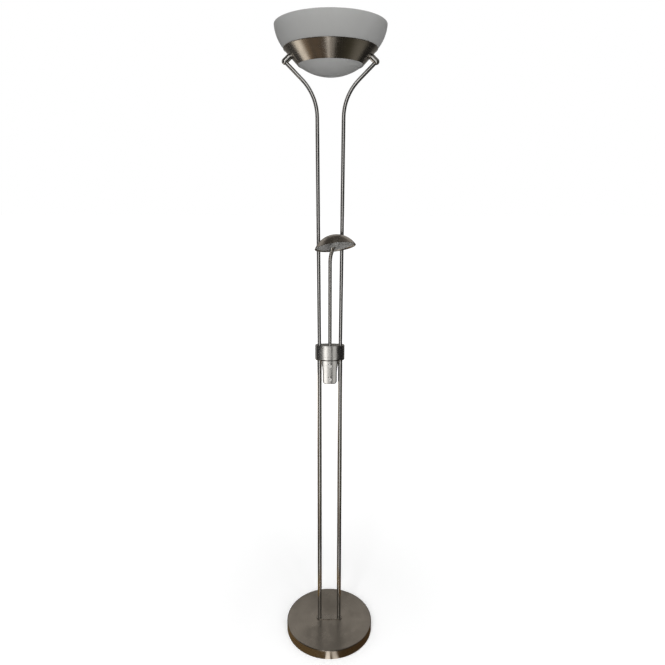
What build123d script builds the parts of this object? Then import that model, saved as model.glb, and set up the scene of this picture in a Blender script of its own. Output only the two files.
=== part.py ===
from build123d import *
from math import atan2, cos, radians, sin, sqrt, tan
import os

# Torchiere floor lamp with a reading light.
# Millimetres and degrees. +Z is up, -Y is the front, where the dimmer knobs are.
# The origin is on the floor, at the centre of the round base.

# --- Clearances ---------------------------------------------------------------
running_gap = 0.05      # radial, a shaft or tube in its hole
joint_gap = 0.3         # between the curved faces of pieces that move on each other
seat_gap = 0.3          # between a flat washer and the curved glass that it presses on

# --- Round base ---------------------------------------------------------------
base_radius = 134.3
base_height = 29.3
base_wall = 1.2
base_edge = 2.5         # rounding of the cover's upper edge
skirt_height = 1.0      # the cover's lower edge stands this far off the floor
pad_radius = 126.0
pad_bore = 70.0
pad_height = 2.0
bottom_plate_thickness = 1.2
weight_gap = 0.4
weight_recess_radius = 13.0
weight_recess_height = 9.0
channel_width = 12.0
channel_height = 11.0
inlet_bore = 3.2
inlet_wall = 1.3
inlet_flange = 2.0
inlet_flange_thickness = 1.8
inlet_length = 7.0

# --- Two lower poles, their foot plate and their nuts ----------------------------
pole_spacing = 60.6
pole_radius = 6.4
pole_wall = 1.0
foot_plate_length = 82.0
foot_plate_width = 20.0
foot_plate_height = 2.5
foot_plate_edge = 0.6
nut_across = 19.0
nut_height = 5.0
washer_radius = 11.5
washer_height = 1.5
thread_end = 1.0        # how far a thread stands out of its nut

# --- Collar that clamps poles and rods ---------------------------------------------
collar_low = 892.0
collar_height = 45.0
collar_end_radius = 12.3
collar_half_depth = 16.0
collar_cap_height = 8.8
collar_edge = 1.0
collar_low_edge = 4.0
collar_lip_height = 11.3
collar_groove_depth = 0.9
collar_groove_width = 1.6
collar_groove_below_top = 4.1
collar_wall = 4.0
collar_floor = 4.0
cap_spigot_depth = 3.0
cap_spigot_wall = 2.0
joiner_flange_height = 4.0
joiner_flange_place = 20.0     # over the collar's underside
joiner_bore = 2.6
joiner_length = 18.0
set_screw_radius = 2.0
set_screw_end_gap = 0.5

# --- Dimmer housing -------------------------------------------------------------------
housing_half_width = 20.4
housing_front = 16.4    # distance in front of the pole plane
housing_back = 10.0     # distance behind the pole plane
housing_drop = 70.0
housing_wall = 1.8
housing_corner = 9.0    # rounding of the two lower corners, seen from the front
housing_front_edge = 3.0
housing_flare = 6.0     # how far each side stands out where it meets the collar
housing_flare_height = 40.0
back_cover_thickness = 1.5
upper_knob_below_collar = 12.4
knob_pitch = 40.5
knob_radius = 5.7
knob_height = 8.5
knob_edge = 1.2
knob_grip_width = 2.2
knob_grip_height = 2.4
knob_grip_angle = 40.0
knob_stand_off = 0.6
shaft_radius = 3.0
shaft_inside = 5.0
pot_radius = 7.5
pot_length = 9.0
pot_bush_radius = 4.6
board_thickness = 1.6
board_half_width = 10.0
board_margin = 8.0
boss_radius = 3.5
boss_length = 12.0
screw_length = 8.0
top_screw_x = 9.0
screw_radius = 1.4
screw_head_radius = 2.6
screw_head_height = 1.4

# --- Two upper rods ---------------------------------------------------------------------
rod_radius = 5.2
rod_wall = 0.9
rod_lean = 0.45         # outward lean of the long run, in degrees
rod_bend_angle = 45.0   # from the vertical, above the bend
rod_bend_radius = 137.0

# --- Knuckles that carry the ring -------------------------------------------------------
knuckle_inset = 3.0         # its domed end's centre, inside the ring's top radius
knuckle_drop = 30.0         # and below the ring's top
knuckle_radius = 8.4
knuckle_groove_depth = 0.7
knuckle_groove_width = 1.2
knuckle_groove_place = 7.0  # from the domed end's centre towards the ring
knuckle_socket_past = 2.0   # how far the rod stops short of the domed end's centre
nipple_radius = 5.0
nipple_bore = 3.0
nipple_grip = 10.0      # length of thread inside the knuckle
nipple_nut_across = 14.0
nipple_nut_height = 4.0
seal_radius = 9.0
seal_height = 1.5

# --- Conical ring and glass bowl ---------------------------------------------------------
total_height = 1800.0
ring_top_drop = 59.0    # below the bowl's rim
ring_height = 40.0
ring_top_radius = 124.0
ring_low_radius = 87.0
ring_wall = 1.2
ring_lip = 0.9          # radius of the rolled upper edge
bowl_flare = 24.3       # how far the rim stands out past the ring's top
bowl_dome_drop = 28.0   # below the ring
bowl_wall = 4.0
bowl_rim_edge = 1.3

# --- Lamp parts inside the bowl ------------------------------------------------------------
bridge_thickness = 1.5
bridge_half_width = 13.0
bridge_tab_half = 12.0
lamp_length = 117.6     # contact to contact, the usual double-ended lamp
lamp_radius = 5.5
lamp_cap_radius = 3.6
lamp_cap_length = 9.0
lamp_height_over_bridge = 19.0
holder_length = 13.0
holder_half_width = 9.0
holder_over_lamp = 7.0
holder_socket_depth = 3.0
reflector_radius = 34.0
reflector_half_angle = 55.0
reflector_wall = 0.6
reflector_over_bridge = 1.5
reflector_margin = 2.0

# --- Flexible arm -------------------------------------------------------------------------------
arm_y = -5.0
arm_crest_radius = 5.3
arm_root_radius = 4.85
arm_bore = 2.2
rib_pitch = 3.0
rib_flat = 0.1          # shares of the pitch: the root's flat on each side of a rib,
rib_flank = 0.25        # and each of its two flanks
first_joint_place = 23.0        # over the collar's top
joint_pitch = 30.0
joint_count = 8
ball_radius = 4.0
shoulder_drop = 2.3     # from a joint's centre down to the lower link's shoulder
crook_start = 4.0       # straight length above the last joint
crook_radius = 40.0
crook_turn = 52.0
crook_heading = 13.0    # degrees to the right of straight ahead
arm_nut_across = 12.0
arm_nut_height = 4.0
arm_thread_radius = 4.4

# --- Reading head -------------------------------------------------------------------------------
reach = 50.9            # straight length from the crook to the head's axis
head_tilt = 18.0        # the mouth faces the front by this much
head_roll = 7.6         # the right side stands higher
head_rim_radius = 56.0
head_height = 34.0
head_wall = 0.9
head_lip = 2.0
hub_over_rim = 10.8     # height of the arm's axis over the rim plane, at the head's axis
hub_radius = 12.5
hub_low = 3.0
hub_high = 19.0
hub_neck_radius = 7.0
stud_radius = 4.0
stud_length = 21.0
arm_into_hub = 3.0
ferrule_length = 14.0
ferrule_wall = 1.0
dish_gap = 2.0          # between the dome and the reflector dish inside it
dish_wall = 0.6
dish_rim_height = 3.5
head_holder_radius = 7.0
head_holder_length = 10.0
head_lamp_radius = 5.2
head_lamp_length = 19.0
head_lamp_height = 9.0  # over the rim plane

# --- Derived places -----------------------------------------------------------------------------
pole_x = pole_spacing / 2
weight_low = pad_height + bottom_plate_thickness
weight_high = base_height - base_wall
recess_top = weight_low + weight_recess_height
pole_low = recess_top - washer_height - nut_height - thread_end
channel_top = weight_low + channel_height
inlet_height = weight_low + channel_height / 2
collar_top = collar_low + collar_height
cap_low = collar_top - collar_cap_height
housing_low = collar_low - housing_drop
upper_knob_height = collar_low - upper_knob_below_collar
lower_knob_height = upper_knob_height - knob_pitch
joiner_flange_low = collar_low + joiner_flange_place
joiner_flange_top = joiner_flange_low + joiner_flange_height
first_joint_height = collar_top + first_joint_place
ring_top_height = total_height - ring_top_drop
ring_low_height = ring_top_height - ring_height
bowl_bottom_height = ring_low_height - bowl_dome_drop
bowl_rim_radius = ring_top_radius + bowl_flare
knuckle_x = ring_top_radius - knuckle_inset
knuckle_z = ring_top_height - knuckle_drop

cone_angle = atan2(ring_top_height - ring_low_height, ring_top_radius - ring_low_radius)
cone_run = Vector(cos(cone_angle), 0, sin(cone_angle))
cone_out = Vector(sin(cone_angle), 0, -cos(cone_angle))

CENTRE_UP = (Align.CENTER, Align.CENTER, Align.MIN)
SIDES = {"left": -1, "right": 1}


# --- Small helpers ------------------------------------------------------------------------------
def post(radius, low, high, x=0.0, y=0.0):
    """An upright cylinder between two heights."""
    return Pos(x, y, low) * Cylinder(radius, high - low, align=CENTRE_UP)


def tube(radius, bore, low, high, x=0.0, y=0.0):
    """An upright tube between two heights."""
    return post(radius, low, high, x, y) - post(bore, low, high, x, y)


def pin(start, direction, radius, length):
    """A cylinder from a point along a direction."""
    return Plane(origin=start, z_dir=direction) * Cylinder(radius, length, align=CENTRE_UP)


def hex_nut(start, direction, across, height, bore):
    """A hexagon nut from a point along a direction."""
    plane = Plane(origin=start, z_dir=direction)
    body = plane * extrude(RegularPolygon(across / 2, 6, major_radius=False), height)
    return body - pin(start, direction, bore, height)


def block(low, high):
    """A box between two corners."""
    size = Vector(*high) - Vector(*low)
    middle = (Vector(*high) + Vector(*low)) * 0.5
    return Pos(middle) * Box(size.X, size.Y, size.Z)


def mirrored(part, side):
    """The part itself on the right, and its mirror image on the left."""
    return part if side > 0 else mirror(part, Plane.YZ)


def write(name, part):
    export_step(part, os.path.join("parts", name + ".step"))


# --- Base ----------------------------------------------------------------------------------------
def make_base():
    outside = post(base_radius, skirt_height, base_height)
    outside = fillet(outside.edges().group_by(Axis.Z)[-1], base_edge)
    inside = post(base_radius - base_wall, skirt_height, weight_high)
    cover = outside - inside
    inlet_axis = (0, 1, 0)
    inlet_radius = inlet_bore + inlet_wall
    cover -= pin((0, base_radius / 2, inlet_height), inlet_axis, inlet_radius + running_gap, base_radius)
    weight = post(base_radius - base_wall - weight_gap, weight_low, weight_high)
    weight -= block(
        (-channel_width / 2, -channel_width / 2, weight_low),
        (channel_width / 2, base_radius, channel_top),
    )
    weight -= block(
        (-pole_x, -channel_width / 2, weight_low),
        (pole_x, channel_width / 2, channel_top),
    )
    nuts = []
    washers = []
    for side in SIDES.values():
        x = side * pole_x
        cover -= post(pole_radius + running_gap, weight_high, base_height, x)
        weight -= post(pole_radius + running_gap, weight_low, weight_high, x)
        weight -= post(weight_recess_radius, weight_low, recess_top, x)
        washer_low = recess_top - washer_height
        washers.append(tube(washer_radius, pole_radius + running_gap, washer_low, recess_top, x))
        nuts.append(hex_nut((x, 0, washer_low), (0, 0, -1), nut_across, nut_height, pole_radius))
    # The channel is deeper than the recesses, so each washer bears on its seat beside the channel.
    write("base_cover", cover)
    write("base_weight", weight)
    write("base_bottom_plate", post(base_radius - base_wall - weight_gap, pad_height, weight_low))
    write("base_pad", tube(pad_radius, pad_bore, 0, pad_height))
    write("pole_nuts", Compound(nuts))
    write("pole_washers", Compound(washers))

    flange_start = (0, base_radius, inlet_height)
    grommet = pin(flange_start, inlet_axis, inlet_radius + inlet_flange, inlet_flange_thickness)
    grommet += pin(
        (0, base_radius + inlet_flange_thickness - inlet_length, inlet_height),
        inlet_axis, inlet_radius, inlet_length,
    )
    grommet -= pin((0, base_radius - inlet_length, inlet_height), inlet_axis, inlet_bore, 2 * inlet_length)
    write("cord_inlet", grommet)


# --- Poles and rods -------------------------------------------------------------------------------
def rod_route():
    """The right rod's centre line: a long leaning run, a wide bend and a straight run."""
    lean = tan(radians(rod_lean))
    splay = tan(radians(rod_bend_angle))
    low = joiner_flange_top + running_gap
    corner_height = (pole_x - lean * low - knuckle_x + splay * knuckle_z) / (splay - lean)
    start = Vector(pole_x, 0, low)
    corner = Vector(pole_x + lean * (corner_height - low), 0, corner_height)
    end = knuckle_centre() - rod_direction() * knuckle_socket_past
    return FilletPolyline(start, corner, end, radius=rod_bend_radius)


def rod_direction():
    return Vector(sin(radians(rod_bend_angle)), 0, cos(radians(rod_bend_angle)))


def knuckle_centre():
    return Vector(knuckle_x, 0, knuckle_z)


def wire_way(side):
    """The hole that takes the leads from a pole into the collar's hollow."""
    height = collar_low + collar_floor + joiner_bore
    return pin((side * pole_x, 0, height), (-side, 0, 0), joiner_bore, pole_x)


def make_poles_and_rods():
    plate = SlotOverall(foot_plate_length, foot_plate_width)
    foot_plate = Pos(0, 0, base_height) * extrude(plate, foot_plate_height)
    foot_plate = fillet(foot_plate.edges().group_by(Axis.Z)[-1], foot_plate_edge)
    route = rod_route()
    section = Plane(origin=route @ 0, z_dir=route % 0)
    rod = sweep(section * (Circle(rod_radius) - Circle(rod_radius - rod_wall)), path=route)
    for name, side in SIDES.items():
        x = side * pole_x
        foot_plate -= post(pole_radius + running_gap, base_height, base_height + foot_plate_height, x)
        pole = tube(pole_radius, pole_radius - pole_wall, pole_low, joiner_flange_low, x)
        write("lower_pole_" + name, pole - wire_way(side))
        write("upper_rod_" + name, mirrored(rod, side))
        joiner = post(pole_radius, joiner_flange_low, joiner_flange_top, x)
        joiner += post(
            pole_radius - pole_wall - running_gap,
            joiner_flange_low - joiner_length, joiner_flange_low, x,
        )
        spigot_start = Vector(pole_x, 0, joiner_flange_top)
        spigot = pin(spigot_start, route % 0, rod_radius - rod_wall - running_gap, joiner_length)
        joiner += mirrored(spigot, side)
        joiner -= post(
            joiner_bore, joiner_flange_low - joiner_length,
            joiner_flange_top + 2 * joiner_length, x,
        )
        write("pole_joiner_" + name, joiner - wire_way(side))
    write("foot_plate", foot_plate)


# --- Collar -------------------------------------------------------------------------------------------
def oval(inset=0.0):
    """The collar's outline: two end arcs round the poles, joined by flatter arcs."""
    end = collar_end_radius - inset
    depth = collar_half_depth - inset
    rise = depth - end
    set_back = (pole_x ** 2 - rise ** 2) / (2 * rise)
    reach_x = pole_x * (set_back + depth) / sqrt(pole_x ** 2 + set_back ** 2)
    reach_y = set_back * (set_back + depth) / sqrt(pole_x ** 2 + set_back ** 2) - set_back
    front = ThreePointArc((-reach_x, -reach_y), (0, -depth), (reach_x, -reach_y))
    right = ThreePointArc((reach_x, -reach_y), (pole_x + end, 0), (reach_x, reach_y))
    back = ThreePointArc((reach_x, reach_y), (0, depth), (-reach_x, reach_y))
    left = ThreePointArc((-reach_x, reach_y), (-pole_x - end, 0), (-reach_x, -reach_y))
    return make_face([front, right, back, left])


def slab(low, high, inset=0.0):
    """The collar's outline between two heights."""
    return Pos(0, 0, low) * extrude(oval(inset), high - low)


def collar_groove(height):
    low = height - collar_groove_width / 2
    high = height + collar_groove_width / 2
    return slab(low, high) - slab(low, high, collar_groove_depth)


def make_collar():
    body = slab(collar_low, cap_low)
    body = fillet(body.edges().group_by(Axis.Z)[0], collar_low_edge)
    body -= collar_groove(collar_low + collar_lip_height)
    body -= collar_groove(cap_low)
    cap = slab(cap_low, collar_top)
    cap = fillet(cap.edges().group_by(Axis.Z)[-1], collar_edge)
    cap -= collar_groove(cap_low)
    cap -= collar_groove(collar_top - collar_groove_below_top)
    cap -= post(arm_thread_radius + running_gap, cap_low, collar_top, 0, arm_y)

    hollow_x = pole_x - pole_radius - collar_wall
    hollow_y = collar_half_depth - collar_wall
    body -= block(
        (-hollow_x, -hollow_y, collar_low + collar_floor),
        (hollow_x, hollow_y, cap_low),
    )
    body -= post(joiner_bore, collar_low, collar_low + collar_floor)
    fit_x = hollow_x - running_gap
    fit_y = hollow_y - running_gap
    spigot = block((-fit_x, -fit_y, cap_low - cap_spigot_depth), (fit_x, fit_y, cap_low))
    spigot -= block(
        (-fit_x + cap_spigot_wall, -fit_y + cap_spigot_wall, cap_low - cap_spigot_depth),
        (fit_x - cap_spigot_wall, fit_y - cap_spigot_wall, cap_low),
    )
    nut_room = arm_nut_across / 2 / cos(radians(30)) + joint_gap
    cap += spigot - post(nut_room, cap_low - cap_spigot_depth, cap_low, 0, arm_y)
    screws = []
    route = rod_route()
    for side in SIDES.values():
        body -= post(screw_radius, collar_low, collar_low + collar_floor, side * top_screw_x)
        x = side * pole_x
        body -= post(pole_radius + running_gap, collar_low, joiner_flange_top + 2 * running_gap, x)
        bore = pin(route @ 0, route % 0, rod_radius + running_gap, collar_top - collar_low)
        body -= mirrored(bore, side)
        cap -= mirrored(bore, side)
        body -= wire_way(side)
        for height, radius in (
            (collar_low + collar_lip_height / 2, pole_radius),
            (cap_low - collar_lip_height / 2, rod_radius),
        ):
            start = (x, radius + running_gap, height)
            length = collar_end_radius - radius - running_gap - set_screw_end_gap
            screws.append(pin(start, (0, 1, 0), set_screw_radius, length))
            body -= pin((x, 0, height), (0, 1, 0), set_screw_radius + running_gap, 2 * collar_half_depth)
    write("collar_body", body)
    write("collar_cap", cap)
    write("collar_screws", Compound(screws))


# --- Dimmer housing, dimmers and knobs --------------------------------------------------------------------
def housing_view(inset, flare):
    """The housing from the front: rounded lower corners, and sides that flare under the collar."""
    half = housing_half_width - inset
    low = housing_low + inset
    high = collar_low - inset
    corner = housing_corner - inset
    slant = corner * (1 - cos(radians(45)))
    flare_low = collar_low - housing_flare_height
    points = [(half - corner, low), (half - slant, low + slant), (half, low + corner), (half, flare_low)]
    edges = [
        Line((corner - half, low), points[0]),
        ThreePointArc(*points[:3]),
        Line(points[2], points[3]),
        ThreePointArc((-half, low + corner), (slant - half, low + slant), (corner - half, low)),
        Line((-half, flare_low), (-half, low + corner)),
    ]
    top = half + flare
    if flare:
        radius = (housing_flare_height ** 2 + flare ** 2) / (2 * flare)
        bow = radius - sqrt(radius ** 2 - (housing_flare_height / 2) ** 2)
        middle = flare_low + housing_flare_height / 2
        edges.append(ThreePointArc(points[3], (half + bow, middle), (top, high)))
        edges.append(ThreePointArc((-top, high), (-half - bow, middle), (-half, flare_low)))
    else:
        edges.append(Line(points[3], (top, high)))
        edges.append(Line((-top, high), (-half, flare_low)))
    edges.append(Line((top, high), (-top, high)))
    return Plane.XZ * make_face(edges)


def housing_solid(inset, flare=0.0):
    """The housing's outside, or its hollow. Its front is curved like the collar's."""
    rise = collar_half_depth - collar_end_radius
    centre_y = (pole_x ** 2 - rise ** 2) / (2 * rise)
    view = housing_view(inset, flare)
    block_depth = 2 * housing_front + housing_back
    solid = extrude(view, block_depth, both=True)
    round_front = post(centre_y + housing_front - inset, housing_low, collar_low, 0, centre_y)
    behind = block((-pole_spacing, housing_back, housing_low), (pole_spacing, centre_y * 3, collar_low))
    return solid & (round_front - behind)


def make_dimmer():
    shell = housing_solid(0, housing_flare)
    front_edges = shell.faces().sort_by(Axis.Y)[0].edges().sort_by(Axis.Z)[:-1]
    shell = fillet(front_edges, housing_front_edge)
    hollow_low = housing_low + housing_wall
    shell -= housing_solid(housing_wall)
    shell -= post(joiner_bore, collar_low - housing_wall, collar_low)

    inner = housing_half_width - housing_wall
    cover_low = housing_back - back_cover_thickness
    back_cover = housing_solid(housing_wall + running_gap) & block(
        (-inner, cover_low, housing_low), (inner, housing_back, collar_low)
    )
    toward_front = (0, -1, 0)
    front_wall = -(housing_front - housing_wall)
    pot_back = front_wall + pot_length
    board = block(
        (-board_half_width, pot_back, hollow_low + board_margin),
        (board_half_width, pot_back + board_thickness, collar_low - board_margin),
    )
    pots = []
    knobs = {"upper": upper_knob_height, "lower": lower_knob_height}
    for name, height in knobs.items():
        bush_start = (0, front_wall + housing_wall, height)
        shell -= pin(bush_start, toward_front, pot_bush_radius + running_gap, housing_front)
        shell -= pin((0, front_wall, height), toward_front, pot_bush_radius + running_gap, housing_front)
        pot = pin((0, pot_back, height), toward_front, pot_radius, pot_length - housing_wall)
        pot += pin((0, pot_back, height), toward_front, pot_bush_radius, pot_length + housing_wall)
        shaft_end = pot_back - shaft_inside
        hole_start = (0, shaft_end + joint_gap, height)
        pots.append(pot - pin(hole_start, toward_front, shaft_radius + running_gap, housing_front))
        knob_back = -(housing_front + knob_stand_off)
        knob = pin((0, knob_back, height), toward_front, knob_radius, knob_height)
        knob = fillet(knob.edges().group_by(Axis.Y)[0], knob_edge)
        face_y = knob_back - knob_height
        cut = block(
            (-knob_radius, face_y, height - knob_radius),
            (knob_radius, face_y + knob_grip_height, height + knob_radius),
        )
        grip = block(
            (-knob_grip_width / 2, face_y, height - knob_radius),
            (knob_grip_width / 2, face_y + knob_grip_height, height + knob_radius),
        )
        turned = Pos(0, 0, height) * Rot(0, knob_grip_angle, 0) * Pos(0, 0, -height)
        knob -= cut - turned * grip
        shaft_tip = knob_back - knob_height / 2
        knob -= pin((0, knob_back, height), toward_front, shaft_radius, knob_height / 2)
        shaft = pin((0, shaft_end, height), toward_front, shaft_radius, shaft_end - shaft_tip)
        write(name + "_knob", knob)
        write(name + "_knob_shaft", shaft)
    cover_screws = []
    top_screws = []
    middle = (upper_knob_height + lower_knob_height) / 2
    for side in SIDES.values():
        x = side * (inner - boss_radius + housing_wall / 2)
        boss = pin((x, cover_low, middle), toward_front, boss_radius, boss_length)
        shell += boss - pin((x, cover_low, middle), toward_front, screw_radius, screw_length)
        back_cover -= pin((x, cover_low, middle), (0, 1, 0), screw_radius + running_gap, housing_back)
        screw = pin((x, housing_back, middle), (0, 1, 0), screw_head_radius, screw_head_height)
        screw += pin((x, housing_back, middle), toward_front, screw_radius, screw_length)
        cover_screws.append(screw)
        shell -= post(pole_radius + running_gap, housing_low, collar_low, side * pole_x)
        x = side * top_screw_x
        ceiling = collar_low - housing_wall
        shell -= post(screw_radius + running_gap, ceiling, collar_low, x)
        screw = post(screw_head_radius, ceiling - screw_head_height, ceiling, x)
        screw += post(screw_radius, ceiling, collar_low + collar_floor, x)
        top_screws.append(screw)
    write("dimmer_housing", shell)
    write("dimmer_back_cover", back_cover)
    write("dimmer_board", board)
    write("dimmer_potentiometers", Compound(pots))
    write("dimmer_cover_screws", Compound(cover_screws))
    write("housing_screws", Compound(top_screws))


# --- Knuckles, ring and glass bowl ---------------------------------------------------------------------------
def ring_point():
    """Where the right knuckle's axis meets the outside of the conical ring."""
    low = Vector(ring_low_radius, 0, ring_low_height)
    distance = (knuckle_centre() - low).dot(cone_out)
    return knuckle_centre() - cone_out * distance


def inward(depth):
    """A point on the right knuckle's axis, inward from the ring's outer face."""
    return ring_point() - cone_out * depth


def arc_about(centre, start, end):
    """The shorter arc between two points of a circle."""
    middle = (start - centre) + (end - centre)
    radius = (start - centre).length
    return ThreePointArc(start, centre + middle.normalized() * radius, end)


def bowl_face(inset):
    """Half the bowl's section, with its outer face moved inward by inset."""
    depth = ring_wall + inset
    seat_low = Vector(ring_low_radius, 0, ring_low_height) - cone_out * ring_wall
    seat_top = Vector(ring_top_radius, 0, ring_top_height) - cone_out * ring_wall
    sag = seat_low.Z - bowl_bottom_height
    dome_radius = (seat_low.X ** 2 + sag ** 2) / (2 * sag)
    dome_centre = Vector(0, 0, bowl_bottom_height + dome_radius)
    low = Vector(ring_low_radius, 0, ring_low_height) - cone_out * depth
    along = (low - dome_centre).dot(cone_run)
    outside = (low - dome_centre).length ** 2 - (dome_radius - inset) ** 2
    low += cone_run * (-along - sqrt(along ** 2 - outside))
    top = Vector(ring_top_radius, 0, ring_top_height) - cone_out * depth
    chord = Vector(bowl_rim_radius, 0, total_height) - seat_top
    flare_radius = chord.length ** 2 / (2 * chord.dot(-cone_out))
    flare_centre = seat_top - cone_out * flare_radius
    rise = total_height - flare_centre.Z
    rim_x = flare_centre.X + sqrt((flare_radius - inset) ** 2 - rise ** 2)
    rim = Vector(rim_x, 0, total_height)
    bottom = Vector(0, 0, bowl_bottom_height + inset)
    return make_face([
        arc_about(dome_centre, bottom, low),
        Line(low, top),
        arc_about(flare_centre, top, rim),
        Polyline(rim, (0, 0, total_height), bottom),
    ])


def make_ring_and_bowl():
    low = Vector(ring_low_radius, 0, ring_low_height)
    top = Vector(ring_top_radius, 0, ring_top_height)
    inner_low = low - cone_out * ring_wall
    inner_top = top - cone_out * ring_wall
    band = make_face(Polyline(low, top, inner_top, inner_low, close=True))
    ring = revolve(band, axis=Axis.Z)
    lip_centre = inner_top + cone_out * ring_lip
    ring += Pos(0, 0, lip_centre.Z) * Torus(lip_centre.X, ring_lip)
    bowl = revolve(bowl_face(0), axis=Axis.Z) - revolve(bowl_face(bowl_wall), axis=Axis.Z)
    bowl = fillet(bowl.edges().group_by(Axis.Z)[-1], bowl_rim_edge)
    for side in SIDES.values():
        hole = pin(ring_point() + cone_out, -cone_out, nipple_radius + joint_gap, 2 * knuckle_radius)
        ring -= mirrored(hole, side)
        bowl -= mirrored(hole, side)
    write("bowl_ring", ring)
    write("bowl_glass", bowl)


def make_knuckles():
    centre = knuckle_centre()
    attach = ring_point()
    reach_out = (centre - attach).length
    knuckle = pin(attach, cone_out, knuckle_radius, reach_out)
    knuckle += Pos(centre) * Sphere(knuckle_radius)
    groove_start = centre - cone_out * (knuckle_groove_place + knuckle_groove_width)
    groove = pin(groove_start, cone_out, knuckle_radius, knuckle_groove_width)
    groove -= pin(groove_start, cone_out, knuckle_radius - knuckle_groove_depth, knuckle_groove_width)
    knuckle -= groove
    rod_end = centre - rod_direction() * knuckle_socket_past
    knuckle -= pin(rod_end, -rod_direction(), rod_radius + running_gap, 2 * knuckle_radius)
    knuckle -= pin(attach, cone_out, nipple_bore, reach_out)
    knuckle -= pin(attach, cone_out, nipple_radius + running_gap, nipple_grip)

    seal_depth = ring_wall + bowl_wall + seat_gap
    bridge_depth = seal_depth + seal_height
    nut_depth = bridge_depth + bridge_thickness
    nipple_end = nut_depth + nipple_nut_height + thread_end
    start = inward(nipple_end)
    length = nipple_end + nipple_grip
    nipple = pin(start, cone_out, nipple_radius, length) - pin(start, cone_out, nipple_bore, length)
    seal = pin(inward(seal_depth), -cone_out, seal_radius, seal_height)
    seal -= pin(inward(seal_depth), -cone_out, nipple_radius + running_gap, seal_height)
    nut = hex_nut(inward(nut_depth), -cone_out, nipple_nut_across, nipple_nut_height, nipple_radius)
    for name, side in SIDES.items():
        write("knuckle_" + name, mirrored(knuckle, side))
    write("threaded_nipples", Compound([mirrored(nipple, side) for side in SIDES.values()]))
    write("bowl_seals", Compound([mirrored(seal, side) for side in SIDES.values()]))
    write("nipple_nuts", Compound([mirrored(nut, side) for side in SIDES.values()]))


# --- Lamp parts inside the bowl ----------------------------------------------------------------------------------
def make_bowl_lamp():
    outer_depth = ring_wall + bowl_wall + seat_gap + seal_height
    inner_depth = outer_depth + bridge_thickness
    outer_low = inward(outer_depth) - cone_run * bridge_tab_half
    outer_top = inward(outer_depth) + cone_run * bridge_tab_half
    inner_top = inward(inner_depth) + cone_run * bridge_tab_half
    bridge_top = outer_low.Z + bridge_thickness
    down = (inner_top.Z - bridge_top) / sin(cone_angle)
    inner_low = inner_top - cone_run * down
    right = [outer_low, outer_top, inner_top, inner_low]
    left = [Vector(-point.X, 0, point.Z) for point in reversed(right)]
    section = make_face(Polyline(*right, *left, close=True))
    bridge = extrude(section, bridge_half_width, dir=(0, 1, 0), both=True)
    lamp_height = bridge_top + lamp_height_over_bridge
    holder_inner = lamp_length / 2 - holder_socket_depth
    trough_inner = reflector_radius - reflector_wall
    trough_centre = (0, 0, bridge_top + reflector_radius)
    trough_half = holder_inner - reflector_margin
    edge_angle = radians(reflector_half_angle)
    trough = Pos(trough_centre) * Rot(0, 90, 0) * (
        Cylinder(reflector_radius, 2 * trough_half) - Cylinder(trough_inner, 2 * trough_half)
    )
    trough_top = bridge_top + reflector_radius * (1 - cos(edge_angle))
    trough = trough & block(
        (-trough_half, -reflector_radius, bridge_top),
        (trough_half, reflector_radius, trough_top),
    )
    holders = {}
    screws = []
    caps = []
    rivets = []
    for name, side in SIDES.items():
        hole = pin(inward(0), -cone_out, nipple_radius + running_gap, 2 * inner_depth)
        bridge -= mirrored(hole, side)
        holder = block(
            (holder_inner, -holder_half_width, bridge_top),
            (holder_inner + holder_length, holder_half_width, lamp_height + holder_over_lamp),
        )
        holder -= pin((0, 0, lamp_height), (1, 0, 0), lamp_cap_radius + running_gap, lamp_length / 2)
        screw_x = holder_inner + holder_length / 2
        screw_low = bridge_top - bridge_thickness
        screw = post(screw_head_radius, screw_low - screw_head_height, screw_low, screw_x)
        screw += post(screw_radius, screw_low, screw_low + screw_length, screw_x)
        holder -= post(screw_radius, bridge_top, screw_low + screw_length, screw_x)
        bridge -= post(screw_radius + running_gap, screw_low, bridge_top, side * screw_x)
        holders[name] = mirrored(holder, side)
        screws.append(mirrored(screw, side))
        cap_start = (side * (lamp_length / 2 - lamp_cap_length), 0, lamp_height)
        caps.append(pin(cap_start, (side, 0, 0), lamp_cap_radius, lamp_cap_length))
        rivet_x = side * trough_half / 2
        rivet_low = screw_low - screw_head_height
        rivet_top = bridge_top + reflector_wall
        rivet = post(screw_head_radius, rivet_low, screw_low, rivet_x)
        rivet += post(screw_radius, screw_low, rivet_top + screw_head_height, rivet_x)
        rivet += post(screw_head_radius, rivet_top + seat_gap, rivet_top + screw_head_height, rivet_x)
        bridge -= post(screw_radius + running_gap, screw_low, bridge_top, rivet_x)
        trough -= post(screw_radius + running_gap, bridge_top, rivet_top + seat_gap, rivet_x)
        rivets.append(rivet)
    glass_half = lamp_length / 2 - lamp_cap_length
    write("lamp_bridge", bridge)
    write("lamp_holder_left", holders["left"])
    write("lamp_holder_right", holders["right"])
    write("holder_screws", Compound(screws))
    write("bowl_lamp", pin((-glass_half, 0, lamp_height), (1, 0, 0), lamp_radius, 2 * glass_half))
    write("bowl_lamp_caps", Compound(caps))
    write("bowl_reflector", trough)
    write("reflector_rivets", Compound(rivets))


# --- Flexible arm ---------------------------------------------------------------------------------------------------
def joint_height(index):
    return first_joint_height + index * joint_pitch


def arm_heading():
    return Vector(sin(radians(crook_heading)), -cos(radians(crook_heading)), 0)


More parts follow.
